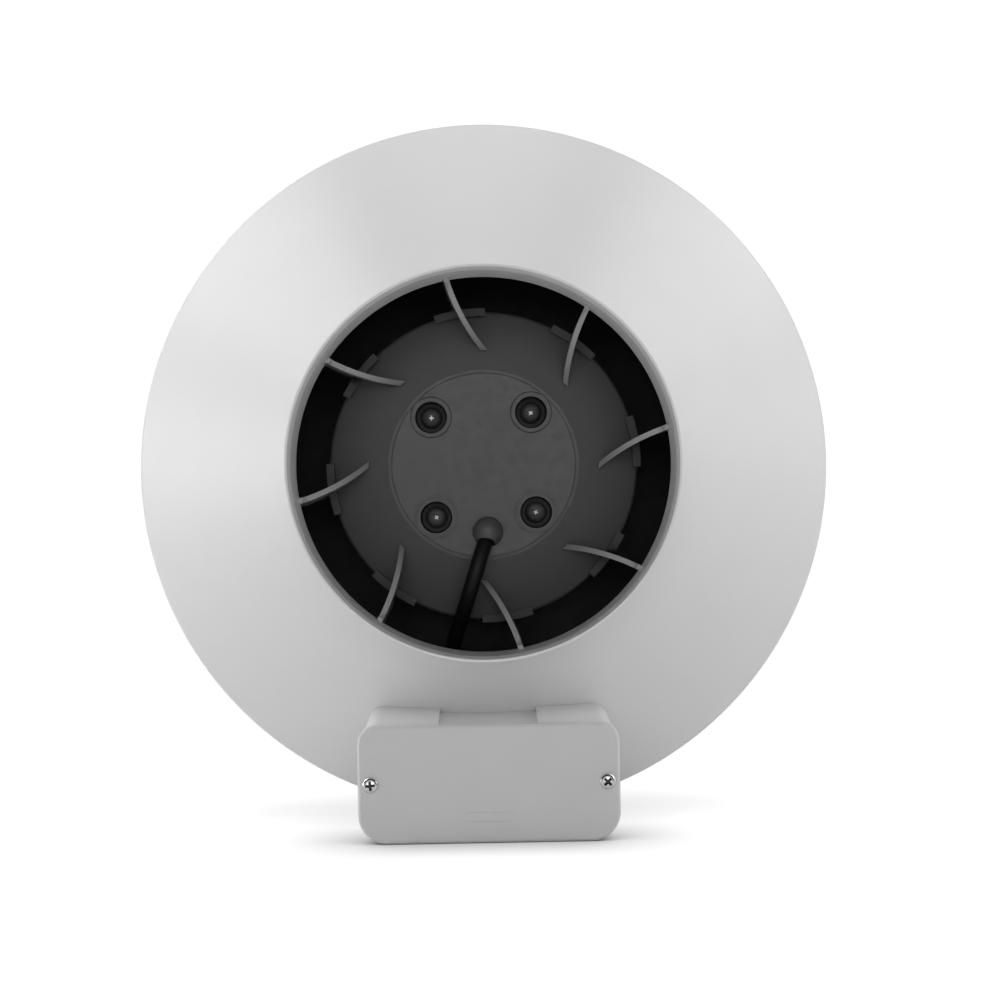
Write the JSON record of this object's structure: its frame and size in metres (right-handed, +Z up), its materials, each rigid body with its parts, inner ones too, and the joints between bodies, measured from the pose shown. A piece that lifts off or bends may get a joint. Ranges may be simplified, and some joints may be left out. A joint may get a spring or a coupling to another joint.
{
  "type": "inline duct fan",
  "caption": "Inline duct fan: twin-cone plastic casing with round spigots, motor on curved guide vanes, enclosed backward-curved impeller and a junction box that it stands on.",
  "frame": {"origin": "centre of the outlet spigot's mouth, on the fan's axis", "axes": "Y along the fan's axis from outlet to inlet, so the outlet faces -Y; +Z up, away from the junction box; +X to the right seen from the outlet"},
  "size_m": [0.286, 0.198, 0.286],
  "materials": {
    "casing_plastic": "light grey moulded plastic, fine satin texture",
    "vane_plastic": "mid grey moulded plastic, fine satin texture",
    "lid_plastic": "mid grey moulded plastic, fine matt texture",
    "box_plastic": "mid grey moulded plastic, satin",
    "plate_plastic": "dark grey moulded plastic, matt",
    "black_plastic": "black glass-filled plastic, matt",
    "rubber": "matt black rubber",
    "zinc_steel": "zinc plated, bright",
    "black_steel": "black oxide",
    "bearing_steel": "ground",
    "lamination_steel": "stamped sheet stack",
    "rotor_steel": "deep drawn",
    "cast_alloy": "as cast",
    "copper": "enamelled copper wire",
    "insulation": "off-white moulded plastic",
    "cable_black": "smooth black sheath",
    "wire_brown": "extruded sheath",
    "wire_blue": "extruded sheath",
    "wire_earth": "extruded sheath",
    "wire_grey": "extruded sheath"
  },
  "bodies": {
    "root": {"outlet_casing": "casing_plastic", "guide_vanes": "vane_plastic", "inlet_casing": "casing_plastic", "casing_seal": "rubber", "inlet_ring": "black_plastic", "inlet_ring_screws": "zinc_steel", "motor_plate": "plate_plastic", "plate_bushes": "rubber", "motor_screws": "black_steel", "motor_flange": "cast_alloy", "stator_core": "lamination_steel", "stator_end_plates": "insulation", "stator_windings": "copper", "thermal_cutout": "black_plastic", "front_bearing_outer_ring": "bearing_steel", "rear_bearing_outer_ring": "bearing_steel", "preload_washer": "bearing_steel", "motor_lead": "cable_black", "lead_grommet": "rubber", "box_base": "box_plastic", "box_screws": "zinc_steel", "box_seal": "rubber", "box_lid": "lid_plastic", "lid_screws": "zinc_steel", "entry_grommet": "rubber", "cord_clamp": "black_plastic", "cord_clamp_screws": "zinc_steel", "terminal_block": "insulation", "terminal_screws": "zinc_steel", "run_capacitor": "insulation", "capacitor_clip": "black_plastic", "wire_brown": "wire_brown", "wire_blue": "wire_blue", "wire_black": "cable_black", "wire_earth": "wire_earth", "wire_capacitor": "wire_grey"},
    "rotor": {"rotor_can": "rotor_steel", "rotor_core": "lamination_steel", "rotor_cage": "cast_alloy", "shaft": "bearing_steel", "shaft_circlip": "black_steel", "front_bearing_inner_ring": "bearing_steel", "rear_bearing_inner_ring": "bearing_steel", "impeller": "black_plastic", "impeller_shroud": "black_plastic", "impeller_screws": "zinc_steel"},
    "front_balls": {"front_bearing_balls": "bearing_steel", "front_bearing_cage": "black_plastic"},
    "rear_balls": {"rear_bearing_balls": "bearing_steel", "rear_bearing_cage": "black_plastic"}
  },
  "joints": [
    {"name": "fan_spin", "type": "hinge", "parent": "root", "child": "rotor", "pos_m": [0, 0.09, 0], "axis": [0, -1, 0], "continuous": true},
    {"name": "front_balls_spin", "type": "hinge", "parent": "root", "child": "front_balls", "pos_m": [0, 0.0655, 0], "axis": [0, -1, 0], "continuous": true},
    {"name": "rear_balls_spin", "type": "hinge", "parent": "root", "child": "rear_balls", "pos_m": [0, 0.1065, 0], "axis": [0, -1, 0], "continuous": true}
  ],
  "couplings": [
    {"joint": "front_balls_spin", "follows": "fan_spin", "ratio": 0.372},
    {"joint": "rear_balls_spin", "follows": "fan_spin", "ratio": 0.372}
  ]
}
